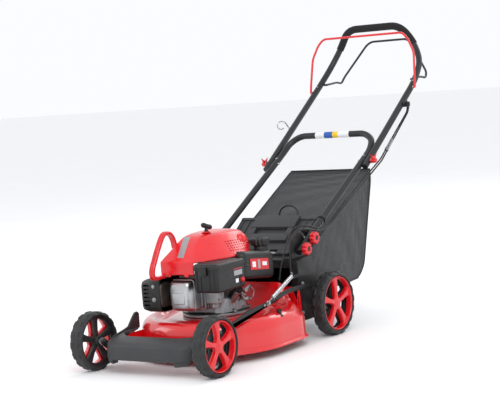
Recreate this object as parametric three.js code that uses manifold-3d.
// A walk-behind petrol lawn mower with a steel deck, a rear grass bag and a folding handle.
// Millimetres, +Z up, the front of the machine towards -Y, the operator behind it at +Y.
import * as THREE from "three";
import { mergeVertices } from "three/addons/utils/BufferGeometryUtils.js";
import Module from "manifold-3d";

// Overall sizes.
const WHEELBASE = 647;
const FRONT_WHEEL_R = 89;
const REAR_WHEEL_R = 101.5;
const WHEEL_WIDTH = 47;
const FRONT_OUTER_X = 248;
const REAR_OUTER_X = 252;
const CLEAR = 0.4;

// Cutting deck and blade.
const DECK_Y = 328;
const DECK_R = 238;
const DECK_LIP_Z = 27;
const DECK_TOP_Z = 122;
const SHEET = 3;
const BLADE_R = 222;
const BLADE_Z = 48;

// Handle.
const TUBE_R = 11;
const LOWER_X = 176;
const UPPER_X = LOWER_X + 2 * TUBE_R + 0.8;
const FOLD_Y = 985;
const FOLD_Z = 527;
const LOWER_SLOPE = 0.565;
const UPPER_SLOPE = 0.68;
const KNOB_LOW_Y = 562;
const KNOB_HIGH_Y = 612;

// Height adjustment: cranked axles turned by one bar.
const CRANK_BACK = 37;
const CRANK_DROP = 25;
const LINK_BACK = 32;
const LINK_RISE = 48;

// Rear flap hinge.
const FLAP_PIN_Y = 595;
const FLAP_PIN_Z = 268;

// Grass bag.
const BAG_HALF_WIDTH = 162;
const BAG_FRONT_Y = 618;
const BAG_TOP_Y = 1080;
const BAG_TOP_Z = 505;

const wasm = await Module();
wasm.setup();

const root = new THREE.Group();
root.name = "push_lawn_mower";

// ---------------------------------------------------------------- shared shape tools

// A closed geometry as a solid that can be added to or cut.
function solid(geometry) {
  const g = geometry.index ? geometry.toNonIndexed() : geometry.clone();
  g.deleteAttribute("normal");
  g.deleteAttribute("uv");
  const merged = mergeVertices(g, 1e-4);
  return new wasm.Manifold(
    new wasm.Mesh({
      numProp: 3,
      vertProperties: merged.attributes.position.array,
      triVerts: new Uint32Array(merged.index.array),
    }),
  );
}

// A solid as three.js geometry.
function geometryOf(made) {
  const mesh = made.getMesh();
  const g = new THREE.BufferGeometry();
  const count = mesh.numProp;
  const points = new Float32Array(mesh.numVert * 3);
  for (let i = 0; i < mesh.numVert; i++) {
    points.set(mesh.vertProperties.subarray(i * count, i * count + 3), i * 3);
  }
  g.setAttribute("position", new THREE.BufferAttribute(points, 3));
  g.setIndex(new THREE.BufferAttribute(new Uint32Array(mesh.triVerts), 1));
  const flat = g.toNonIndexed();
  flat.computeVertexNormals();
  return flat;
}

function add(name, made, look) {
  const mesh = new THREE.Mesh(geometryOf(made), new THREE.MeshStandardMaterial(look));
  mesh.name = name;
  root.add(mesh);
  return made;
}

function box(x0, x1, y0, y1, z0, z1) {
  const g = new THREE.BoxGeometry(x1 - x0, y1 - y0, z1 - z0);
  g.translate((x0 + x1) / 2, (y0 + y1) / 2, (z0 + z1) / 2);
  return solid(g);
}

// A round bar between two points.
function bar(from, to, radius, sides = 16) {
  const a = new THREE.Vector3(...from);
  const b = new THREE.Vector3(...to);
  const g = new THREE.CylinderGeometry(radius, radius, a.distanceTo(b), sides);
  g.applyQuaternion(
    new THREE.Quaternion().setFromUnitVectors(
      new THREE.Vector3(0, 1, 0),
      b.clone().sub(a).normalize(),
    ),
  );
  g.translate(...a.add(b).multiplyScalar(0.5).toArray());
  return solid(g);
}

// A bent rod through points, each given as [x, y, z], corners rounded by a curve.
function rod(points, radius, sides = 10, steps = 40, tension = 0.5) {
  const curve = new THREE.CatmullRomCurve3(
    points.map((p) => new THREE.Vector3(...p)),
    false,
    "catmullrom",
    tension,
  );
  return sweep(curve, radius, sides, steps);
}

function sweep(curve, radius, sides, steps) {
  const shape = new THREE.Shape(
    Array.from({ length: sides }, (_, i) => {
      const t = (2 * Math.PI * i) / sides;
      return new THREE.Vector2(radius * Math.cos(t), radius * Math.sin(t));
    }),
  );
  return solid(new THREE.ExtrudeGeometry(shape, { steps, extrudePath: curve }));
}

// A tube bent with true arcs: straight runs between points, corners rounded to `bend`.
function bentTube(points, radius, bend, sides = 14, arcSteps = 5) {
  const p = points.map((q) => new THREE.Vector3(...q));
  const path = [p[0]];
  for (let i = 1; i < p.length - 1; i++) {
    const before = p[i - 1].clone().sub(p[i]);
    const after = p[i + 1].clone().sub(p[i]);
    const reach = Math.min(bend, before.length() * 0.48, after.length() * 0.48);
    const start = p[i].clone().add(before.normalize().multiplyScalar(reach));
    const end = p[i].clone().add(after.normalize().multiplyScalar(reach));
    const corner = new THREE.QuadraticBezierCurve3(start, p[i], end);
    path.push(...corner.getPoints(arcSteps));
  }
  path.push(p[p.length - 1]);
  return tubeAlong(path, radius, sides);
}

// A round tube through every point of a path, its rings kept square to the path.
function tubeAlong(path, radius, sides) {
  const rings = [];
  const tangentAt = (i) => {
    const a = path[Math.max(i - 1, 0)];
    const b = path[Math.min(i + 1, path.length - 1)];
    return b.clone().sub(a).normalize();
  };
  let normal = new THREE.Vector3(0.123, 0.2, 1).cross(tangentAt(0)).normalize();
  for (let i = 0; i < path.length; i++) {
    const t = tangentAt(i);
    normal = normal.sub(t.clone().multiplyScalar(normal.dot(t))).normalize();
    const side = t.clone().cross(normal);
    rings.push(
      Array.from({ length: sides }, (_, k) => {
        const w = (2 * Math.PI * k) / sides;
        return path[i]
          .clone()
          .add(normal.clone().multiplyScalar(radius * Math.cos(w)))
          .add(side.clone().multiplyScalar(radius * Math.sin(w)));
      }),
    );
  }
  return loft(rings);
}

// A closed body through loops of points, all with the same count; the ends are closed.
function loft(loops) {
  const n = loops[0].length;
  const at = [];
  loops.forEach((loop) => loop.forEach((v) => at.push(v.x, v.y, v.z)));
  const index = [];
  for (let s = 0; s < loops.length - 1; s++) {
    for (let i = 0; i < n; i++) {
      const j = (i + 1) % n;
      const a = s * n + i;
      const b = s * n + j;
      index.push(a, b, b + n, a, b + n, a + n);
    }
  }
  const close = (loop, offset, turned) => {
    const centre = loop.reduce((c, v) => c.add(v), new THREE.Vector3()).divideScalar(n);
    const out = new THREE.Vector3();
    loop.forEach((v, i) => {
      out.add(v.clone().sub(centre).cross(loop[(i + 1) % n].clone().sub(centre)));
    });
    const across = Math.abs(out.x) > Math.max(Math.abs(out.y), Math.abs(out.z))
      ? [(v) => v.y, (v) => v.z, Math.sign(out.x)]
      : Math.abs(out.y) > Math.abs(out.z)
        ? [(v) => v.z, (v) => v.x, Math.sign(out.y)]
        : [(v) => v.x, (v) => v.y, Math.sign(out.z)];
    const flat = loop.map((v) => new THREE.Vector2(across[0](v), across[1](v)));
    THREE.ShapeUtils.triangulateShape(flat, []).forEach(([a, b, c]) => {
      const spin = THREE.ShapeUtils.area([flat[a], flat[b], flat[c]]) * across[2] > 0;
      const face = spin === turned ? [a, b, c] : [a, c, b];
      index.push(...face.map((k) => k + offset));
    });
  };
  close(loops[0], 0, false);
  close(loops[loops.length - 1], (loops.length - 1) * n, true);
  const g = new THREE.BufferGeometry();
  g.setAttribute("position", new THREE.Float32BufferAttribute(at, 3));
  g.setIndex(index);
  const made = solid(g);
  if (made.volume() > 0) return made;
  for (let i = 0; i < index.length; i += 3) {
    [index[i + 1], index[i + 2]] = [index[i + 2], index[i + 1]];
  }
  g.setIndex(index);
  return solid(g);
}

// Flat outlines given as [a, b] pairs pushed along one axis.
function plateX(outline, x0, x1) {
  return loft([x0, x1].map((x) => outline.map(([y, z]) => new THREE.Vector3(x, y, z))));
}

function plateY(outline, y0, y1) {
  return loft([y0, y1].map((y) => outline.map(([x, z]) => new THREE.Vector3(x, y, z))));
}

function plateZ(outline, z0, z1) {
  return loft([z0, z1].map((z) => outline.map(([x, y]) => new THREE.Vector3(x, y, z))));
}

// Layers of outlines: each layer is [height, outline] along Z.
function layersZ(layers) {
  return loft(layers.map(([z, o]) => o.map(([x, y]) => new THREE.Vector3(x, y, z))));
}

function layersY(layers) {
  return loft(layers.map(([y, o]) => o.map(([x, z]) => new THREE.Vector3(x, y, z))));
}

function layersX(layers) {
  return loft(layers.map(([x, o]) => o.map(([y, z]) => new THREE.Vector3(x, y, z))));
}

// A rounded rectangle as an outline.
function rounded(a0, a1, b0, b1, r, steps = 3) {
  const out = [];
  const corners = [
    [a1 - r, b1 - r, 0],
    [a0 + r, b1 - r, 90],
    [a0 + r, b0 + r, 180],
    [a1 - r, b0 + r, 270],
  ];
  corners.forEach(([a, b, from]) => {
    for (let i = 0; i <= steps; i++) {
      const t = ((from + (90 * i) / steps) * Math.PI) / 180;
      out.push([a + r * Math.cos(t), b + r * Math.sin(t)]);
    }
  });
  return out;
}

// A turned body about a vertical axis at (x, y); the profile is [radius, z] pairs.
function turned(profile, x, y, sides = 48) {
  const g = new THREE.LatheGeometry(
    profile.map(([r, z]) => new THREE.Vector2(Math.max(r, 0), z)),
    sides,
  );
  g.rotateX(Math.PI / 2);
  g.translate(x, y, 0);
  let made = solid(g);
  if (made.volume() < 0) {
    made = solid(flipped(g));
  }
  return made;
}

// A turned body about an axis along X through (y, z); the profile is [radius, x] pairs.
function turnedX(profile, y, z, sides = 32) {
  const g = new THREE.LatheGeometry(
    profile.map(([r, x]) => new THREE.Vector2(Math.max(r, 0), x)),
    sides,
  );
  g.rotateZ(-Math.PI / 2);
  g.translate(0, y, z);
  const made = solid(g);
  return made.volume() < 0 ? solid(flipped(g)) : made;
}

function flipped(geometry) {
  const g = geometry.index ? geometry.toNonIndexed() : geometry.clone();
  const p = g.attributes.position.array;
  for (let i = 0; i < p.length; i += 9) {
    for (let k = 0; k < 3; k++) {
      [p[i + 3 + k], p[i + 6 + k]] = [p[i + 6 + k], p[i + 3 + k]];
    }
  }
  return g;
}

function mirrored(made) {
  return made.mirror([1, 0, 0]);
}

function union(...parts) {
  return parts.reduce((a, b) => a.add(b));
}

// ---------------------------------------------------------------- looks

const RED_PAINT = { color: 0xc8101c, roughness: 0.3, metalness: 0.1 };
const RED_PLASTIC = { color: 0xd3101c, roughness: 0.42, metalness: 0 };
const BLACK_PLASTIC = { color: 0x24262a, roughness: 0.6, metalness: 0 };
const GREY_PLASTIC = { color: 0x4a4c50, roughness: 0.6, metalness: 0 };
const TUBE_PAINT = { color: 0x2c2d30, roughness: 0.42, metalness: 0.2 };
const STEEL = { color: 0xa8a8a8, roughness: 0.35, metalness: 1 };
const CAST = { color: 0xb4b6b8, roughness: 0.5, metalness: 0.9 };
const TYRE = { color: 0x232426, roughness: 0.8, metalness: 0 };
const FABRIC = { color: 0x2a2a2c, roughness: 0.95, metalness: 0 };

// ---------------------------------------------------------------- cutting deck

// The pressed steel shell, `t` inside its outer face.
function deckForm(t) {
  const dome = turned(
    [
      [0, 10],
      [DECK_R - t, 10],
      [DECK_R - t, 100 - t],
      [DECK_R - 4 - t, 116 - t],
      [DECK_R - 12 - t, 126 - t],
      [DECK_R - 22, 128 - t],
      [DECK_R - 34 + t, 124 - t],
      [DECK_R - 42 + t, 112 - t],
      [162 + t, 110 - t],
      [150, DECK_TOP_Z - t],
      [0, DECK_TOP_Z - t],
    ],
    0,
    DECK_Y,
    30,
  );
  // The ring is pressed lower along the sides and round the back of the engine's seat.
  const saddle = plateX([[215, 150], [330, 106 - t], [520, 106 - t], [520, 150]], -400, 400);
  const seat = turned([[0, 90], [160 - t, 90], [154 - t, 160], [0, 160]], 0, DECK_Y, 30);
  const round = dome.subtract(box(-400, 400, 505 - t, 700, 0, 300)).subtract(saddle.subtract(seat));
  const half = [
    [DECK_R - t, 10],
    [DECK_R - t, 96 - t],
    [DECK_R - 7 - t, 108 - t],
    [DECK_R - 20, 112 - t],
  ];
  const section = [...half, ...half.map(([x, z]) => [-x, z]).reverse()];
  const rear = plateY(section, DECK_Y, 505 - t);
  const tunnelSide = [
    [300, 10],
    [300, 104 - t],
    [438, 108 - t],
    [447 + t, 150 - t],
    [464 + t, 184 - t],
    [490, 192 - t],
    [521 + t * 3, 192 - t],
    [521 + t * 3, 10],
  ];
  const shoulder = tunnelSide.map(([y, z]) => [y, z > 120 ? z - 10 : z]);
  const flank = tunnelSide.map(([y, z]) => [y, z > 120 ? z - 34 : z]);
  const tunnel = layersX([
    [-190 + t, flank],
    [-176 + t, shoulder],
    [-152 + t, tunnelSide],
    [152 - t, tunnelSide],
    [176 - t, shoulder],
    [190 - t, flank],
  ]);
  return union(round, rear, tunnel);
}

function makeDeck() {
  let deck = deckForm(0).subtract(deckForm(SHEET));
  deck = deck.subtract(box(-400, 400, 0, 700, 0, DECK_LIP_Z));
  // The rolled lip along the lower edge.
  const lipRing = turned(
    [
      [DECK_R - 2, DECK_LIP_Z],
      [DECK_R + 6, DECK_LIP_Z],
      [DECK_R + 6, DECK_LIP_Z + 3],
      [DECK_R - 1, DECK_LIP_Z + 12],
      [DECK_R - 2, DECK_LIP_Z + 12],
      [DECK_R - 2, DECK_LIP_Z],
    ],
    0,
    DECK_Y,
    30,
  ).subtract(box(-300, 300, DECK_Y, 700, 0, 200));
  const lipSection = [
    [DECK_R - 2, DECK_LIP_Z],
    [DECK_R + 6, DECK_LIP_Z],
    [DECK_R + 6, DECK_LIP_Z + 3],
    [DECK_R - 1, DECK_LIP_Z + 12],
    [DECK_R - 2, DECK_LIP_Z + 12],
  ];
  const lipSide = plateY(lipSection, DECK_Y - 0.5, 505);
  deck = union(deck, lipRing, lipSide, mirrored(lipSide));
  // Upright side plates that carry the rear frame.
  const plate = plateX(
    [
      [440, 60],
      [440, 120],
      [462, 166],
      [490, 168],
      [519, 96],
      [519, 40],
      [495, 40],
    ],
    186,
    190,
  );
  const slot = union(
    bar([180, 500, 96], [195, 500, 96], 3.2, 8),
    bar([180, 505, 72], [195, 505, 72], 3.2, 8),
    box(180, 195, 474, 486, 118, 148),
  );
  const cheek = plate.subtract(slot);
  // Lugs that hold the front axle ahead of the shell.
  const lug = plateX(
    [
      [26, 52],
      [26, 76],
      [90, 96],
      [150, 96],
      [150, 52],
    ],
    150,
    155,
  );
  deck = union(deck, cheek, mirrored(cheek), lug, mirrored(lug));
  const inside = deckForm(SHEET).intersect(box(-400, 400, 95, 519.5, 0, 300));
  deck = deck.subtract(inside.subtract(union(box(140, 160, 0, 200, 0, 300), box(-160, -140, 0, 200, 0, 300))));
  deck = deck.subtract(bar([-200, CRANK_BACK, FRONT_WHEEL_R - CRANK_DROP], [200, CRANK_BACK, FRONT_WHEEL_R - CRANK_DROP], 6.6));
  deck = deck.subtract(bar([0, DECK_Y, 90], [0, DECK_Y, 150], 15, 20));
  return deck;
}

add("deck", makeDeck(), RED_PAINT);

// ---------------------------------------------------------------- front bumper

// A moulded nose between the front wheels, hollow underneath and open towards the deck.
function bumperOutline(inset) {
  const half = [
    [188 - inset, 128],
    [188 - inset, 44],
    [180 - inset, 14],
    [163 - inset * 0.9, -16 + inset * 0.4],
    [140 - inset * 0.6, -42 + inset * 0.8],
    [112, -57 + inset],
  ];
  return [...half, ...half.map(([x, y]) => [-x, y]).reverse()];
}

function makeBumper() {
  const outer = layersZ([
    [46, bumperOutline(0)],
    [86, bumperOutline(0)],
    [100, bumperOutline(17)],
    [108, bumperOutline(40)],
  ]);
  const inner = layersZ([
    [40, bumperOutline(4)],
    [84, bumperOutline(4)],
    [96.5, bumperOutline(21)],
    [104, bumperOutline(44)],
  ]);
  let bumper = outer.subtract(inner);
  const feet = union(
    box(112, 150, -54, -22, 32, 60),
    box(-150, -112, -54, -22, 32, 60),
  ).intersect(layersZ([[30, bumperOutline(1)], [70, bumperOutline(1)]]));
  const comb = box(-112.5, 112.5, -45, -39, 38, 52);
  const shelf = box(-112.5, 112.5, -55, -39, 46, 52);
  bumper = union(bumper, feet, comb, shelf);
  for (let i = 0; i < 13; i++) {
    const x = -105 + i * 17.5;
    bumper = bumper.subtract(box(x - 3, x + 3, -47, -37, 37, 44));
  }
  // Arms that run back over the axle beside the shell.
  const arm = plateX(
    [
      [40, 80],
      [60, 96],
      [112, 104],
      [156, 106],
      [167, 112],
      [171, 134],
      [181, 146],
      [194, 149],
      [236, 149],
      [244, 142],
      [244, 120],
      [120, 80],
    ],
    182,
    188,
  );
  bumper = union(bumper, arm, mirrored(arm));
  const deckRoom = turned([[0, 20], [DECK_R + 2, 20], [DECK_R + 2, 118], [DECK_R - 8, 132], [0, 132]], 0, DECK_Y, 30);
  bumper = bumper.subtract(deckRoom);
  bumper = bumper.subtract(box(-200, -170, 22, 54, 20, 74));
  bumper = bumper.subtract(box(170, 200, 22, 54, 20, 74));
  // Side pockets next to the wheels.
  const pocket = plateZ([[96, 40], [152, 12], [150, 62], [104, 74]], 98, 120);
  const kept = bumper.subtract(union(pocket, mirrored(pocket)).subtract(box(-200, 200, -60, 200, 0, 101)));
  return kept.decompose().sort((a, b) => b.volume() - a.volume())[0];
}

add("front_bumper", makeBumper(), GREY_PLASTIC);

// ---------------------------------------------------------------- rear frame

function makeRearFrame() {
  const housing = layersY([
    [523, rounded(-184, 184, 60, 258, 10, 2)],
    [612, rounded(-184, 184, 60, 258, 10, 2)],
  ]);
  let frame = housing.subtract(box(-158, 158, 500, 640, 20, 232));
  // A stop bar across the bottom of the chute.
  frame = frame.add(box(-160, 160, 604, 612, 132, 142));
  // Side plates that carry the rear axle.
  const side = plateX(
    [
      [530, 62],
      [530, 200],
      [700, 200],
      [704, 66],
      [668, 66],
      [662, 128],
      [606, 128],
      [606, 62],
    ],
    178,
    184,
  );
  const hook = union(box(180, 190, 478, 530, 205, 215), box(184, 190, 474, 482, 205, 222));
  frame = union(frame, side, mirrored(side), hook);
  // Pads the bag frame hangs on.
  const peg = box(166, 180, 606, 628, 228, 240);
  frame = union(frame, peg, mirrored(peg));
  const axle = bar([-200, WHEELBASE + CRANK_BACK, REAR_WHEEL_R - CRANK_DROP], [200, WHEELBASE + CRANK_BACK, REAR_WHEEL_R - CRANK_DROP], 6.6);
  // Seat for the flap's hinge pin.
  const knuckle = union(
    box(-150, -130, 586, 604, 250, 276),
    box(130, 150, 586, 604, 250, 276),
  );
  frame = union(frame, knuckle).subtract(axle);
  const stub = bar([114, FLAP_PIN_Y, FLAP_PIN_Z], [131, FLAP_PIN_Y, FLAP_PIN_Z], 3, 10);
  return union(frame, stub, mirrored(stub));
}

add("rear_frame", makeRearFrame(), BLACK_PLASTIC);

// ---------------------------------------------------------------- rear flap

// The spring-loaded flap that closes the chute and lies on the bag.
function makeFlap() {
  const plate = (x, lift, thick, y0, y1) => {
    const at = (y) => 270 + lift + ((y - 600) * 92) / 125;
    return plateX(
      [
        [y0, at(y0)],
        [y1, at(y1)],
        [y1 - 3, at(y1) + thick],
        [y0, at(y0) + thick],
      ],
      -x,
      x,
    );
  };
  let flap = plate(153, 0, 5, 606, 725);
  flap = flap.add(plate(76, 3, 16, 628, 722));
  flap = flap.subtract(plate(70, 10, 20, 655, 672));
  // Turned-down side walls.
  const wall = plateX(
    [
      [606, 276.4],
      [725, 364],
      [725, 345],
      [660, 302],
      [625, 276],
    ],
    148,
    153,
  );
  flap = union(flap, wall, mirrored(wall));
  // Hinge barrels along the front edge.
  for (const [x0, x1] of [[-128, -60], [-30, 30], [60, 128]]) {
    flap = union(
      flap,
      bar([x0, FLAP_PIN_Y, FLAP_PIN_Z], [x1, FLAP_PIN_Y, FLAP_PIN_Z], 6.5, 10),
      box(x0, x1, FLAP_PIN_Y, 614, 268, 278),
    );
  }
  return flap.subtract(bar([-160, FLAP_PIN_Y, FLAP_PIN_Z], [160, FLAP_PIN_Y, FLAP_PIN_Z], 3.4, 10));
}

add("rear_flap", makeFlap(), GREY_PLASTIC);

// ---------------------------------------------------------------- wheels

// Moulded wheel with a blocky tread, open towards the outside where the cover sits.
function makeWheel(y, radius, outerX, rimR) {
  const steps = 24;
  const inner = outerX - WHEEL_WIDTH;
  const profile = [
    [rimR + 0.3, outerX - 3],
    [rimR + 5, outerX],
    [radius - 4, outerX],
    [radius, outerX - 5],
    [radius, inner + 5],
    [radius - 4, inner],
    [rimR + 3, inner],
    [rimR - 2, inner + 5],
    [rimR - 2, outerX - 26],
    [rimR + 0.3, outerX - 25.4],
  ];
  const loops = profile.map(([r, x], k) =>
    Array.from({ length: steps }, (_, i) => {
      const shoulder = k === 2 || k === 5;
      const crown = k === 3 || k === 4;
      const low = Math.floor(i / 2) % 2 === 1;
      const d = crown && low ? 3 : shoulder && low ? 2.2 : 0;
      const t = (2 * Math.PI * i) / steps;
      return new THREE.Vector3(x, y + (r - d) * Math.sin(t), radius + (r - d) * Math.cos(t));
    }),
  );
  let wheel = closedRing(loops);
  // Web with five openings, and the hub.
  let web = turnedX(
    [
      [0, outerX - 34],
      [0, outerX - 26],
      [rimR - 1, outerX - 26],
      [rimR - 1, outerX - 34],
      [0, outerX - 34],
    ],
    y,
    radius,
    20,
  );
  for (let i = 0; i < 5; i++) {
    const mid = Math.PI / 2 + (2 * Math.PI * i) / 5 + Math.PI / 5;
    const gap = [
      [24, -0.3],
      [rimR - 9, -0.47],
      [rimR - 8, 0],
      [rimR - 9, 0.47],
      [24, 0.3],
    ].map(([r, t]) => [y + r * Math.cos(mid + t), radius + r * Math.sin(mid + t)]);
    web = web.subtract(plateX(gap, outerX - 40, outerX - 20));
  }
  const hub = bar([inner + 0.3, y, radius], [outerX - 24, y, radius], 16, 14);
  const bore = bar([inner - 5, y, radius], [outerX + 5, y, radius], 6.8, 12);
  return union(wheel, web, hub).subtract(bore);
}

// Loops joined into one ring surface, the last back to the first.
function closedRing(loops) {
  const n = loops[0].length;
  const at = [];
  loops.forEach((loop) => loop.forEach((v) => at.push(v.x, v.y, v.z)));
  const index = [];
  for (let s = 0; s < loops.length; s++) {
    const u = (s + 1) % loops.length;
    for (let i = 0; i < n; i++) {
      const j = (i + 1) % n;
      index.push(s * n + i, s * n + j, u * n + j, s * n + i, u * n + j, u * n + i);
    }
  }
  const g = new THREE.BufferGeometry();
  g.setAttribute("position", new THREE.Float32BufferAttribute(at, 3));
  g.setIndex(index);
  const made = solid(g);
  return made.volume() > 0 ? made : solid(flipped(g));
}

// Red five-spoke cover pressed into the outer face.
function makeWheelCover(y, radius, outerX, rimR) {
  const r = rimR - 1;
  let cover = turnedX(
    [
      [r, outerX - 24],
      [r, outerX - 3],
      [r - 7, outerX - 3],
      [r - 7, outerX - 24],
      [r, outerX - 24],
    ],
    y,
    radius,
    20,
  );
  const hub = turnedX(
    [
      [0, outerX - 19],
      [0, outerX - 4],
      [13, outerX - 5],
      [19, outerX - 9],
      [19, outerX - 19],
      [0, outerX - 19],
    ],
    y,
    radius,
    15,
  );
  cover = cover.add(hub);
  for (let i = 0; i < 5; i++) {
    const t = Math.PI / 2 + (2 * Math.PI * i) / 5;
    const across = (s, w) => {
      const cy = y + s * Math.cos(t);
      const cz = radius + s * Math.sin(t);
      const wy = -Math.sin(t) * w;
      const wz = Math.cos(t) * w;
      return [
        [outerX - 22, -1],
        [outerX - 22, 1],
        [outerX - 9, 0.8],
        [outerX - 6, 0],
        [outerX - 9, -0.8],
      ].map(([x, k]) => new THREE.Vector3(x, cy + wy * k, cz + wz * k));
    };
    cover = cover.add(loft([across(12, 9), across(r - 6, 13.5)]));
  }
  return cover.subtract(bar([outerX - 30, y, radius], [outerX - 10, y, radius], 6.8, 12));
}

const WHEELS = [
  ["front_left", 0, FRONT_WHEEL_R, FRONT_OUTER_X, FRONT_WHEEL_R - 13, false],
  ["front_right", 0, FRONT_WHEEL_R, FRONT_OUTER_X, FRONT_WHEEL_R - 13, true],
  ["rear_left", WHEELBASE, REAR_WHEEL_R, REAR_OUTER_X, REAR_WHEEL_R - 15, false],
  ["rear_right", WHEELBASE, REAR_WHEEL_R, REAR_OUTER_X, REAR_WHEEL_R - 15, true],
];

for (const [place, y, radius, outerX, rimR, far] of WHEELS) {
  const wheel = makeWheel(y, radius, outerX, rimR);
  const cover = makeWheelCover(y, radius, outerX, rimR);
  add("wheel_" + place, far ? mirrored(wheel) : wheel, TYRE);
  add("wheel_cover_" + place, far ? mirrored(cover) : cover, RED_PLASTIC);
}

// ---------------------------------------------------------------- axles and height adjustment

// A crank rod across the machine with an arm and a stub at each end; the left arm also
// reaches up to the height bar.
function makeAxle(wheelY, wheelZ, outerX) {
  const py = wheelY + CRANK_BACK;
  const pz = wheelZ - CRANK_DROP;
  const rodAcross = bar([-192, py, pz], [192, py, pz], 6);
  const arm = (x0, x1) =>
    plateX(
      [
        [wheelY - 9, wheelZ + 8],
        [wheelY + 6, wheelZ + 10],
        [py + 10, pz + 5],
        [py + 9, pz - 9],
        [py - 6, pz - 9],
        [wheelY - 9, wheelZ - 7],
      ],
      x0,
      x1,
    );
  const stub = bar([190, wheelY, wheelZ], [outerX - 12, wheelY, wheelZ], 6);
  const lever = plateX(
    [
      [py - 8, pz],
      [py + LINK_BACK - 8, pz + LINK_RISE + 2],
      [py + LINK_BACK, pz + LINK_RISE + 9],
      [py + LINK_BACK + 8, pz + LINK_RISE - 1],
      [py + 9, pz],
    ],
    190,
    195.6,
  );
  const pin = bar([194, py + LINK_BACK, pz + LINK_RISE], [200, py + LINK_BACK, pz + LINK_RISE], 3.4, 12);
  const left = union(arm(190, 195.6), stub, lever, pin);
  const right = mirrored(union(arm(190, 195.6), stub));
  return union(rodAcross, left, right);
}

const FRONT_PIN = [CRANK_BACK + LINK_BACK, FRONT_WHEEL_R - CRANK_DROP + LINK_RISE];
const REAR_PIN = [WHEELBASE + CRANK_BACK + LINK_BACK, REAR_WHEEL_R - CRANK_DROP + LINK_RISE];

add("front_axle", makeAxle(0, FRONT_WHEEL_R, FRONT_OUTER_X), STEEL);
const rearAxle = makeAxle(WHEELBASE, REAR_WHEEL_R, REAR_OUTER_X);
add("rear_axle", rearAxle, STEEL);

// Gear case in the middle of the rear axle with its drive shaft.
function makeGearCase() {
  const y = WHEELBASE;
  const z = REAR_WHEEL_R;
  const drum = turnedX(
    [
      [0, -46],
      [0, 26],
      [18, 26],
      [27, 16],
      [27, -36],
      [18, -46],
      [0, -46],
    ],
    y,
    z,
    20,
  );
  const neck = bar([-10, y, z], [-10, y, z - 34], 11, 14);
  const shaft = bar([-189.5, y, z], [189.5, y, z], 5.5, 12);
  return union(drum, neck, shaft);
}

add("gear_case", makeGearCase(), CAST);

// Flat bar that turns both axles together.
function makeHeightBar() {
  const line = [
    FRONT_PIN,
    [137, 128],
    [236, 148],
    [329, 156],
    [415, 172],
    [480, 175],
    [560, 168],
    REAR_PIN,
  ];
  const half = 6.5;
  const upper = line.map(([y, z]) => [y, z + half]);
  const lower = line.map(([y, z]) => [y, z - half]).reverse();
  upper[0][0] -= 6;
  lower[lower.length - 1][0] -= 6;
  upper[upper.length - 1][0] += 7;
  lower[0][0] += 7;
  const flat = plateX([...upper, ...lower], 196, 199.4);
  const peg = bar([198, 318, 157], [207, 318, 157], 4.5, 12);
  // The bar slides straight while the crank pins swing, so each pin rides in an upright slot.
  const tabs = [FRONT_PIN, REAR_PIN].map(([y, z]) => box(196, 199.4, y - 9, y + 9, z - 6.5, z + 18));
  const slots = [FRONT_PIN, REAR_PIN].map(([y, z]) =>
    union(
      bar([190, y, z], [205, y, z], 4.7, 12),
      bar([190, y, z + 9.9], [205, y, z + 9.9], 4.7, 12),
      box(190, 205, y - 4.6, y + 4.6, z, z + 9.9),
    ),
  );
  return union(flat, peg, ...tabs).subtract(union(...slots));
}

add("height_bar", makeHeightBar(), BLACK_PLASTIC);

// Tension spring that carries part of the machine's weight when the height is changed.
const spring = union(
  bar([207.5, 331, 170], [198, 464, 217], 6.5, 14),
  turnedX([[4.9, 203.2], [4.9, 206.2], [8.6, 206.2], [8.6, 203.2], [4.9, 203.2]], 318, 157, 10),
  bar([204.7, 322.5, 162], [206.5, 332, 170], 1.7, 8),
  rod([[199, 462, 216], [195, 472, 221], [191, 478, 225], [186, 480, 225.2]], 1.7, 6, 5),
);
add("height_spring", spring, STEEL);

// ---------------------------------------------------------------- blade and drive

// Flat bar blade with raised tips, its two ends ground to an edge.
function makeBlade() {
  const half = [
    [14, -24],
    [150, -24],
    [BLADE_R, -16],
    [BLADE_R, 12],
    [204, 24],
    [14, 24],
  ];
  const outline = [...half, ...half.map(([x, y]) => [-x, -y])];
  const flat = plateZ(outline.map(([x, y]) => [x, y + DECK_Y]), BLADE_Z, BLADE_Z + 3);
  const lift = plateX([[16, 0], [26, 14], [24, 16], [13, 2.5]].map(([y, z]) => [y + DECK_Y, z + BLADE_Z]), 150, 206);
  const other = lift.rotate([0, 0, 0]).translate([0, -DECK_Y, 0]).rotate([0, 0, 180]).translate([0, DECK_Y, 0]);
  return union(flat, lift, other).subtract(bar([0, DECK_Y, 40], [0, DECK_Y, 60], 6.3, 16));
}

add("blade", makeBlade(), STEEL);

// Hub that keys the blade to the crankshaft, with the blade bolt.
const adapter = union(
  turned([[0, 52], [30, 52], [30, 58], [18, 60], [18, 78], [0, 78], [0, 52]], 0, DECK_Y, 24),
  bar([0, DECK_Y, 38], [0, DECK_Y, 53], 6, 16),
  turned([[0, 33], [12, 33], [12, 39], [17, 40], [17, 47.6], [0, 47.6], [0, 33]], 0, DECK_Y, 6),
);
add("blade_adapter", adapter, STEEL);
add("crankshaft", bar([0, DECK_Y, 78.4], [0, DECK_Y, 318], 10, 20), STEEL);

// ---------------------------------------------------------------- engine

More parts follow.
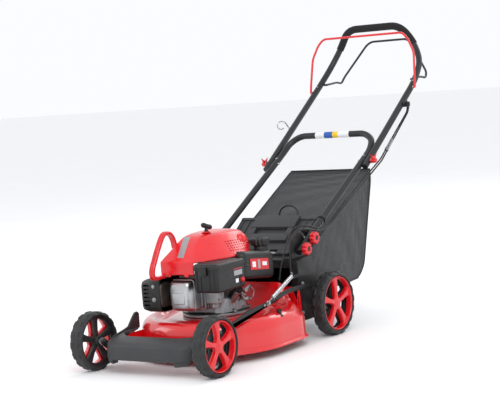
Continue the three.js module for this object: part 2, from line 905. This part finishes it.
// Crankcase with its base flange, the cylinder and the cooling fins.
function makeEngineBlock() {
  const base = DECK_TOP_Z + CLEAR;
  const flange = turned([[0, base], [106, base], [106, base + 9], [98, base + 12], [0, base + 12], [0, base]], 0, DECK_Y, 24);
  const crankcase = layersZ([
    [base + 6, rounded(-86, 86, 246, 402, 30, 2)],
    [176, rounded(-80, 80, 252, 398, 30, 2)],
    [196, rounded(-66, 66, 262, 392, 26, 2)],
    [236, rounded(-50, 50, 280, 376, 24, 2)],
    [262, rounded(-34, 34, 294, 362, 20, 2)],
  ]);
  const cylinder = plateY(rounded(-36, 36, 158, 244, 8, 2), 172, 290);
  let block = union(flange, crankcase, cylinder);
  for (let i = 0; i < 4; i++) {
    const y = 208 + i * 11;
    block = block.add(plateY(rounded(-50, 50, 150, 256, 8, 1), y, y + 4));
  }
  const head = plateY(rounded(-41, 41, 154, 252, 9, 2), 169, 196);
  // Bosses and the oil filler neck.
  const bosses = union(
    bar([66, 264, 140], [66, 264, 188], 9, 12),
    bar([84, 300, 140], [84, 300, 184], 8, 12),
    bar([82, 352, 140], [82, 352, 182], 9, 12),
    bar([70, 300, 150], [104, 300, 196], 11, 14),
  );
  // Bearer that holds the tank and the air filter.
  const bearer = box(34, 80, 300, 306, 196, 214);
  block = union(block, head, bosses, bearer);
  const bore = bar([0, DECK_Y, 100], [0, DECK_Y, 280], 12, 20);
  return block.subtract(bore);
}

add("engine_block", makeEngineBlock(), CAST);

const valveCover = layersY([
  [168.6, rounded(-39, 39, 157, 249, 9, 3)],
  [150, rounded(-36, 36, 160, 246, 9, 3)],
  [141, rounded(-29, 29, 168, 239, 9, 3)],
]);
add("valve_cover", valveCover, CAST);

// Spark plug with its rubber boot on the left side of the head.
add("spark_plug", union(bar([41.5, 184, 228], [46, 184, 228], 8, 6), bar([45.5, 184, 228], [60, 184, 228], 7, 14)), BLACK_PLASTIC);

const OIL_A = [104.8, 300, 197.1];
const OIL_B = [112.5, 300, 207.5];
add("oil_cap", bar(OIL_A, OIL_B, 14, 10), BLACK_PLASTIC);

// Flywheel with its fan blades under the starter cover.
function makeFlywheel() {
  let wheel = turned([[10.4, 286], [70, 286], [70, 296], [10.4, 300], [10.4, 286]], 0, DECK_Y, 28);
  for (let i = 0; i < 8; i++) {
    const t = (2 * Math.PI * i) / 8;
    const fin = box(40, 66, -1.5, 1.5, 294, 312).rotate([0, 0, (t * 180) / Math.PI]).translate([0, DECK_Y, 0]);
    wheel = wheel.add(fin);
  }
  return wheel;
}

add("flywheel", makeFlywheel(), CAST);

// Outline of the starter cover: a nose over the cylinder and a round back.
function coverOutline(inset, nose) {
  const half = [
    [58 - inset * 0.6, 145 + nose],
    [66 - inset * 0.7, 156 + nose],
    [90 - inset, 205 + nose * 0.55],
    [110 - inset, 258 + nose * 0.2],
    [118 - inset, 312],
    [112 - inset, 362],
    [92 - inset * 0.85, 402 - inset * 0.6],
    [60 - inset * 0.6, 428 - inset],
    [22 - inset * 0.2, 440 - inset],
  ];
  return [...half.map(([x, y]) => [-x, y]).reverse(), ...half];
}

// The same outline squeezed to a half width and to a front and a back.
function coverLayer(half, front, back) {
  return coverOutline(0, 0).map(([x, y]) => [
    (x * half) / 118,
    front + ((y - 145) * (back - front)) / 295,
  ]);
}

// The cover's roof: height, half width, front and back of each layer.
const COVER_ROOF = [
  [309, 118, 145, 440],
  [324, 110, 163, 437],
  [340, 96, 183, 430],
  [356, 78, 205, 420],
  [369, 60, 224, 405],
  [377, 46, 240, 385],
  [380, 34, 254, 365],
];

function makeFanCover() {
  const outer = layersZ([
    [268, coverOutline(1, 0)],
    [274, coverOutline(0, 0)],
    ...COVER_ROOF.map(([z, half, front, back]) => [z, coverLayer(half, front, back)]),
  ]);
  const inner = layersZ([
    [260, coverOutline(4, 3)],
    ...COVER_ROOF.slice(0, -1).map(([z, half, front, back]) => [
      z - 3,
      coverLayer(half - 3, front + 3, back - 3),
    ]),
  ]);
  let cover = outer.subtract(inner);
  // Cut away on the left for the air filter and the tank.
  cover = cover.subtract(box(60, 140, 128, 460, 255, 304));
  cover = cover.subtract(box(-20, 140, 400, 460, 255, 304));
  // Posts down to the crankcase.
  const posts = union(
    box(-44, -36, 300, 320, 268, 300),
    bar([-100, 330, 262], [-100, 330, 274], 6, 10),
  );
  // Finger hole for the starter rope and a small raised bump at the back.
  cover = cover.subtract(bar([22, 278, 360], [22, 278, 400], 5, 12));
  const bump = turned([[0, 340], [20, 340], [18, 354], [10, 361], [0, 362], [0, 340]], 74, 376, 14);
  return union(cover, bump.subtract(inner)).subtract(posts);
}

add("fan_cover", makeFanCover(), RED_PLASTIC);

// Loop that the machine is lifted by at the front.
const loopPath = [
  [-53, 142, 262.4],
  [-53, 104, 262.4],
  [-53, 90, 272],
  [-53, 94, 296],
  [-53, 125, 346],
  [-53, 149, 379],
  [-53, 166, 390],
  [-53, 186, 388],
  [-53, 201, 376],
  [-53, 208, 362],
  [-53, 209, 355],
];
function makeCarryHandle() {
  const points = loopPath.map((p) => new THREE.Vector3(...p));
  const rings = points.map((p, i) => {
    const a = points[Math.max(i - 1, 0)];
    const b = points[Math.min(i + 1, points.length - 1)];
    const t = b.clone().sub(a).normalize();
    const up = new THREE.Vector3(0, -t.z, t.y);
    return [
      [-9, -4],
      [9, -4],
      [9, 2],
      [6, 5],
      [-6, 5],
      [-9, 2],
    ].map(([x, k]) => p.clone().add(new THREE.Vector3(x, 0, 0)).add(up.clone().multiplyScalar(k)));
  });
  return loft(rings);
}

// Recoil starter grip that sits on the cover.
const grip = union(
  layersZ([
    [-9, rounded(-7, 7, -17, 17, 5, 3)],
    [-2, rounded(-9, 9, -23, 23, 8, 3)],
    [5, rounded(-9, 9, -22, 22, 8, 3)],
    [9, rounded(-6, 6, -17, 17, 5, 3)],
  ]).rotate([-17, 0, 0]).translate([22, 281, 398]),
  bar([22, 278, 376], [22, 278, 394], 4, 10),
);
add("starter_grip", grip, BLACK_PLASTIC);

// Muffler can and the slotted guard around it.
const muffler = layersX([
  [-116, rounded(132, 228, 172, 240, 14, 3)],
  [-112, rounded(128, 232, 168, 244, 16, 3)],
  [-60, rounded(128, 232, 168, 244, 16, 3)],
  [-56, rounded(132, 228, 172, 240, 14, 3)],
]);
add("muffler", union(muffler, bar([-58, 184, 200], [-41.5, 184, 200], 12, 14)), STEEL);

function makeMufflerGuard() {
  const shape = (t) => [
    [-124 + t, rounded(122 + t, 240 - t, 160 + t, 252 - t, 16 - t, 2)],
    [-108, rounded(118 + t, 244 - t, 156 + t, 257 - t, 18 - t, 2)],
    [-53, rounded(118 + t, 244 - t, 156 + t, 257 - t, 18 - t, 2)],
  ];
  let guard = layersX(shape(0)).subtract(
    layersX([...shape(2), [-40, rounded(120, 242, 158, 255, 16, 2)]]),
  );
  for (let i = 0; i < 6; i++) {
    const z = 176 + i * 12;
    guard = guard.subtract(box(-116, -92, 110, 126, z, z + 5));
    guard = guard.subtract(box(-130, -118, 142, 220, z, z + 5));
  }
  const foot = box(-96, -60, 236, 250, 160, 164);
  return union(guard, foot);
}

add("muffler_guard", makeMufflerGuard(), BLACK_PLASTIC);

// Air filter: a tray, the foam block in it and the lid.
const AIR = [66, 154, 136, 280];
const tray = layersZ([
  [216, rounded(AIR[0] + 4, AIR[1] - 4, AIR[2] + 4, AIR[3] - 4, 8, 2)],
  [224, rounded(AIR[0], AIR[1], AIR[2], AIR[3], 8, 2)],
  [283, rounded(AIR[0], AIR[1], AIR[2], AIR[3], 8, 2)],
]).subtract(
  layersZ([
    [222, rounded(AIR[0] + 4, AIR[1] - 4, AIR[2] + 4, AIR[3] - 4, 6, 2)],
    [290, rounded(AIR[0] + 4, AIR[1] - 4, AIR[2] + 4, AIR[3] - 4, 6, 2)],
  ]),
);
const primerHole = bar([AIR[1] - 8, 258, 240], [AIR[1] + 4, 258, 240], 8.6, 16);
add("air_filter_tray", tray.subtract(primerHole), BLACK_PLASTIC);
add(
  "air_filter_foam",
  plateZ(rounded(AIR[0] + 8, AIR[1] - 12, AIR[2] + 8, AIR[3] - 8, 4, 2), 224, 279),
  { color: 0x3a3a30, roughness: 1, metalness: 0 },
);
const lid = union(
  layersZ([
    [283.4, rounded(AIR[0] - 2, AIR[1] + 2, AIR[2] - 2, AIR[3] + 2, 9, 2)],
    [294, rounded(AIR[0] - 2, AIR[1] + 2, AIR[2] - 2, AIR[3] + 2, 9, 2)],
    [302, rounded(AIR[0] + 6, AIR[1] - 6, AIR[2] + 6, AIR[3] - 6, 9, 2)],
  ]),
  box(90, 118, AIR[2] - 8, AIR[2] + 2, 268, 296).subtract(box(80, 130, AIR[2] - 0.6, AIR[2] + 4, 260, 283.4)),
);
add("air_filter_lid", lid, BLACK_PLASTIC);
add(
  "primer_bulb",
  turnedX([[0, 147], [8, 147], [8, 155], [7.4, 159], [4.5, 162], [0, 163], [0, 147]], 258, 240, 16),
  RED_PLASTIC,
);

// Carburettor between the filter and the cylinder.
const carburettor = union(
  box(52, 96, 206, 240, 172, 206),
  bar([74, 222, 158], [74, 222, 174], 13, 14),
  bar([80, 222, 204], [80, 222, 215.4], 10, 12),
);
add("carburettor", carburettor, CAST);

// Governor and throttle levers beside the crankcase.
const governor = union(
  plateX([[318, 206], [330, 212], [352, 170], [382, 164], [382, 156], [346, 158]], 92, 94.5),
  bar([94, 322, 206], [104, 322, 206], 5, 10),
  bar([94, 376, 160], [101, 376, 160], 4.5, 10),
);
add("governor_lever", governor, STEEL);

// Fuel tank, shaped around the starter cover, and its screw cap.
function makeTank() {
  const outline = (i) => [
    [75 + i, 288 + i],
    [132 - i, 288 + i],
    [144 - i, 300 + i],
    [144 - i, 448 - i],
    [128 - i, 466 - i],
    [58 + i, 466 - i],
    [46 + i, 452 - i],
    [46 + i, 400],
    [75 + i, 380],
  ];
  // The tank leans down to the rear.
  const lean = 0.12;
  const body = layersZ([
    [234, outline(10)],
    [243, outline(0)],
    [308, outline(0)],
    [319, outline(9)],
  ]).transform([1, 0, 0, 0, 0, 1, -lean, 0, 0, 0, 1, 0, 0, 0, lean * 288, 1]);
  const room = layersZ([
    [225, coverOutline(-4, 0)],
    [309, coverOutline(-4, 0)],
    [336, coverOutline(3, 34)],
  ]).subtract(box(-200, 200, 0, 500, 200, 300));
  const neck = bar([106, 440, 292], [106, 440, 316], 22, 20);
  const filler = bar([106, 440, 304], [106, 440, 320], 17, 18);
  return union(body.subtract(room), neck).subtract(filler);
}

add("fuel_tank", makeTank(), BLACK_PLASTIC);
let cap = turned([[0, 318], [28, 318], [29, 320], [29, 336], [26, 340], [0, 341], [0, 318]], 106, 440, 20);
for (let i = 0; i < 10; i++) {
  const t = (2 * Math.PI * i) / 10;
  cap = cap.subtract(bar([106 + 31 * Math.cos(t), 440 + 31 * Math.sin(t), 312], [106 + 31 * Math.cos(t), 440 + 31 * Math.sin(t), 336], 3.6, 4));
}
add("fuel_cap", union(cap, bar([106, 440, 307], [106, 440, 319], 16, 16)), BLACK_PLASTIC);

add("carry_handle", makeCarryHandle(), RED_PLASTIC);

// Hose nozzle for washing under the deck.
const nozzle = union(
  turned([[0, 112.4], [9, 112.4], [9, 116], [6, 118], [6, 127], [8, 128], [8, 134], [0, 134], [0, 112.4]], 220, 348, 12),
);
add("wash_nozzle", nozzle, BLACK_PLASTIC);

// ---------------------------------------------------------------- handle

const lowerZ = (y) => FOLD_Z + (y - FOLD_Y) * LOWER_SLOPE;
const upperZ = (y) => FOLD_Z + (y - FOLD_Y) * UPPER_SLOPE;

// Grey brackets on the rear frame that take the handle's feet.
function makeBracket() {
  const x0 = LOWER_X - TUBE_R - 7;
  const plate = plateX(
    [
      [520, 258.4],
      [534, 318],
      [570, 343],
      [634, 343],
      [640, 330],
      [600, 300],
      [600, 258.4],
    ],
    x0,
    x0 + 6,
  );
  const flange = box(x0 - 26, x0 + 3, 526, 580, 258.4, 263);
  const holes = [KNOB_LOW_Y, KNOB_HIGH_Y].map((y) =>
    bar([x0 - 4, y, lowerZ(y)], [x0 + 20, y, lowerZ(y)], 4.8, 12),
  );
  // The upper bolt swings out of an open curved slot when the handle folds.
  const reach = Math.hypot(KNOB_HIGH_Y - KNOB_LOW_Y, lowerZ(KNOB_HIGH_Y) - lowerZ(KNOB_LOW_Y));
  const rise = Math.atan(LOWER_SLOPE);
  for (let i = 1; i <= 10; i++) {
    const t = rise + i * 0.12;
    const at = [KNOB_LOW_Y + reach * Math.cos(t), lowerZ(KNOB_LOW_Y) + reach * Math.sin(t)];
    holes.push(bar([x0 - 4, ...at], [x0 + 8, ...at], 6.4, 8));
  }
  return union(plate, flange).subtract(union(...holes));
}

add("handle_bracket_left", makeBracket(), GREY_PLASTIC);
add("handle_bracket_right", mirrored(makeBracket()), GREY_PLASTIC);

// Lower handle: one tube bent to a U, its closed end up.
function makeLowerHandle() {
  const half = [
    [LOWER_X, 546, lowerZ(546)],
    [LOWER_X, 1040, lowerZ(1040)],
    [LOWER_X - 10, 1078, 592],
    [LOWER_X - 46, 1094, 613],
  ];
  const path = [...half, ...half.map(([x, y, z]) => [-x, y, z]).reverse()];
  let tube = bentTube(path, TUBE_R, 30, 10, 2);
  for (const side of [-1, 1]) {
    for (const y of [KNOB_LOW_Y, KNOB_HIGH_Y]) {
      tube = tube.subtract(
        bar([side * (LOWER_X - 20), y, lowerZ(y)], [side * (LOWER_X + 20), y, lowerZ(y)], 4.4, 12),
      );
    }
    tube = tube.subtract(
      bar([side * (LOWER_X - 20), FOLD_Y, FOLD_Z], [side * (LOWER_X + 20), FOLD_Y, FOLD_Z], 3.6, 12),
    );
  }
  return tube;
}

add("lower_handle", makeLowerHandle(), TUBE_PAINT);

// Upper handle: one tube with the grip bent up and narrowing to the top bar.
function makeUpperHandle() {
  const half = [
    [UPPER_X, 958, upperZ(958)],
    [UPPER_X, 1352, upperZ(1352)],
    [UPPER_X - 12, 1428, 846],
    [152, 1452, 915],
    [108, 1434, 978],
  ];
  const path = [...half, ...half.map(([x, y, z]) => [-x, y, z]).reverse()];
  let tube = bentTube(path, TUBE_R, 44, 10, 3);
  for (const side of [-1, 1]) {
    tube = tube.subtract(
      bar([side * (UPPER_X - 20), FOLD_Y, FOLD_Z], [side * (UPPER_X + 20), FOLD_Y, FOLD_Z], 3.6, 12),
    );
  }
  return tube;
}

add("upper_handle", makeUpperHandle(), TUBE_PAINT);

// Eight-lobed clamping knob with its bolt, turned on an axis along X.
function makeStarKnob(y) {
  const z = lowerZ(y);
  const x0 = LOWER_X + TUBE_R + 0.6;
  let knob = turnedX(
    [[0, x0 + 2], [19, x0 + 2], [20, x0 + 17], [17, x0 + 20], [0, x0 + 20], [0, x0 + 2]],
    y,
    z,
    16,
  );
  for (let i = 0; i < 8; i++) {
    const t = (Math.PI * (i + 0.5)) / 4;
    const at = [y + 22.5 * Math.cos(t), z + 22.5 * Math.sin(t)];
    knob = knob.subtract(bar([x0 - 2, ...at], [x0 + 24, ...at], 5, 4));
  }
  const collar = bar([x0, y, z], [x0 + 4, y, z], 9, 12);
  const bolt = bar([LOWER_X - TUBE_R - 12, y, z], [x0 + 3, y, z], 4, 10);
  return union(knob, collar, bolt);
}

for (const [level, y] of [["lower", KNOB_LOW_Y], ["upper", KNOB_HIGH_Y]]) {
  add("star_knob_left_" + level, makeStarKnob(y), RED_PLASTIC);
  add("star_knob_right_" + level, mirrored(makeStarKnob(y)), RED_PLASTIC);
}

// Wing knob with its bolt at the fold of the handle.
function makeWingKnob() {
  const x0 = UPPER_X + TUBE_R + 0.6;
  const z = FOLD_Z;
  const body = bar([x0, FOLD_Y, z], [x0 + 20, FOLD_Y, z], 8, 12);
  const wing = plateX([[-20, 22], [20, 22], [9, -4], [-9, -4]].map(([a, b]) => [FOLD_Y + a, z + b]), x0 + 7, x0 + 12);
  const bolt = bar([LOWER_X - TUBE_R - 5, FOLD_Y, z], [x0 + 3, FOLD_Y, z], 3.2, 10);
  const head = bar([LOWER_X - TUBE_R - 5, FOLD_Y, z], [LOWER_X - TUBE_R - 0.5, FOLD_Y, z], 6, 6);
  return union(body, wing, bolt, head);
}

add("wing_knob_left", makeWingKnob(), RED_PLASTIC);
add("wing_knob_right", mirrored(makeWingKnob()), RED_PLASTIC);

// Bent wire bails: the red one stops the engine, the black one engages the drive.
const BRAKE_PIVOT = [1318, upperZ(1318) + 2];
const DRIVE_PIVOT = [1366, upperZ(1366) - 3];

function makeBrakeBail() {
  const x = UPPER_X + TUBE_R + 6;
  const half = [
    [x - 5.6, BRAKE_PIVOT[0], BRAKE_PIVOT[1]],
    [x, BRAKE_PIVOT[0], BRAKE_PIVOT[1] + 1],
    [x, BRAKE_PIVOT[0] + 3, BRAKE_PIVOT[1] + 24],
    [x - 6, 1338, 880],
    [x - 30, 1344, 928],
    [x - 52, 1347, 950],
  ];
  const path = [...half, ...half.map(([a, b, c]) => [-a, b, c]).reverse()];
  return bentTube(path, 4, 14, 6, 2);
}

add("brake_bail", makeBrakeBail(), RED_PAINT);

function makeDriveBail() {
  const x = UPPER_X - TUBE_R - 2.2;
  const half = [
    [x, DRIVE_PIVOT[0], DRIVE_PIVOT[1]],
    [x - 10, DRIVE_PIVOT[0], DRIVE_PIVOT[1]],
    [x - 10, 1440, 789],
    [x - 8, 1478, 783],
    [x - 12, 1494, 804],
    [92, 1538, 918],
    [72, 1541, 929],
  ];
  const path = [...half, ...half.map(([a, b, c]) => [-a, b, c]).reverse()];
  return bentTube(path, 4, 12, 6, 2);
}

add("drive_bail", makeDriveBail(), TUBE_PAINT);

// Cable holder on the left upper tube, and the wire guide for the starter rope on the right.
const holder = union(
  box(UPPER_X + TUBE_R + 0.4, UPPER_X + TUBE_R + 4, 1232, 1262, 690, 712),
  box(UPPER_X + TUBE_R + 3, UPPER_X + TUBE_R + 16, 1250, 1256, 692, 708),
);
add("cable_holder", holder, BLACK_PLASTIC);

const guideX = -(UPPER_X + TUBE_R + 3);
const guide = rod(
  [
    [guideX, 1150, upperZ(1150)],
    [guideX - 4, 1146, 648],
    [guideX - 5, 1126, 666],
    [guideX - 12, 1106, 668],
    [guideX - 18, 1098, 652],
    [guideX - 12, 1108, 640],
    [guideX - 5, 1120, 644],
  ],
  2.2,
  6,
  12,
);
add("rope_guide", union(guide, bar([guideX + 2.4, 1150, upperZ(1150)], [guideX - 3, 1150, upperZ(1150)], 5, 8)), STEEL);

// ---------------------------------------------------------------- grass bag

// Fabric bag sewn over a wire frame, open at the front where it hangs on the machine.
function bagSection(y, bottom, top, half, r) {
  return [y, rounded(-half, half, bottom, top, r, 2)];
}

function makeBag() {
  const t = 4;
  const topAt = (y) => 262 + ((y - BAG_FRONT_Y) * (BAG_TOP_Z - 262)) / (BAG_TOP_Y - BAG_FRONT_Y);
  const form = (k, y0) => {
    const w = BAG_HALF_WIDTH - k;
    const side = [
      [y0, 140 + k],
      [860, 130 + k],
      [1004 - k, 130 + k],
      [1004 - k, 150],
      [938 - k, 232],
      [BAG_TOP_Y - 12 - k, BAG_TOP_Z - 22 - k],
      [BAG_TOP_Y - 10 - k, topAt(BAG_TOP_Y - 10) - k],
      [BAG_TOP_Y - 24 - k, topAt(BAG_TOP_Y - 24) - k],
      [y0, topAt(y0) - k],
    ];
    const narrow = side.map(([y, z]) => [y, z > 200 ? z - 6 : z]);
    return layersX([
      [-w, narrow],
      [-w + 8, side],
      [w - 8, side],
      [w, narrow],
    ]);
  };
  return form(0, BAG_FRONT_Y).subtract(form(t, BAG_FRONT_Y - 20));
}

add("grass_bag", makeBag(), FABRIC);

// Wire hoop around the mouth with the carrying loop.
function makeBagLoop() {
  const y = 774;
  const z = 262 + ((y - BAG_FRONT_Y) * (BAG_TOP_Z - 262)) / (BAG_TOP_Y - BAG_FRONT_Y);
  const half = [
    [40, y - 4, z + 4.2],
    [38, y, z + 24],
    [33, y + 4, z + 46],
    [14, y + 7, z + 58],
  ];
  return bentTube([...half, ...half.map(([a, b, c]) => [-a, b, c]).reverse()], 3.4, 12, 6, 2);
}

add("bag_handle", makeBagLoop(), TUBE_PAINT);

// ---------------------------------------------------------------- control cables

const CABLES = {
  brake_cable_upper: [
    [221, 1246, 700],
    [222, 1236, 674],
    [218, 1120, 588],
    [216, 1040, 528],
    [206, 960, 482],
    [204, 803, 409.5],
  ],
  brake_cable_lower: [
    [204, 800, 408],
    [199, 700, 352],
    [198, 640, 341],
    [182.5, 582, 362],
    [156, 548, 354],
    [149, 508, 290],
    [142, 490, 240],
    [138, 484, 199],
  ],
  drive_cable_upper: [
    [227.5, 1246, 700],
    [228, 1232, 672],
    [224, 1118, 584],
    [222, 1036, 522],
    [212, 958, 476],
    [210, 803, 403.5],
  ],
  drive_cable_lower: [
    [210, 800, 402],
    [205, 700, 346],
    [204, 640, 334],
    [190, 565, 352],
    [172, 522, 345],
    [168, 508, 300],
    [170, 503, 250],
    [171, 500, 203],
  ],
};

for (const [name, points] of Object.entries(CABLES)) {
  add(name, bentTube(points, 2.5, 24, 5, 1), BLACK_PLASTIC);
}

// Strap that holds both cables to the lower tube.
function makeStrap() {
  const y = 700;
  const dir = new THREE.Vector3(0, 1, LOWER_SLOPE).normalize().multiplyScalar(5);
  const c = [LOWER_X, y, lowerZ(y)];
  const from = [c[0], c[1] - dir.y, c[2] - dir.z];
  const to = [c[0], c[1] + dir.y, c[2] + dir.z];
  const wide = [c[0], c[1] - dir.y * 2, c[2] - dir.z * 2];
  const wide2 = [c[0], c[1] + dir.y * 2, c[2] + dir.z * 2];
  return bar(from, to, TUBE_R + 3, 16).subtract(bar(wide, wide2, TUBE_R + 0.5, 16));
}

add("cable_strap", makeStrap(), BLACK_PLASTIC);

// The machine stands on z = 0 with the middle of its length and width at the origin.
const bounds = new THREE.Box3().setFromObject(root);
root.position.set(0, -(bounds.min.y + bounds.max.y) / 2, -bounds.min.z);

export default root;
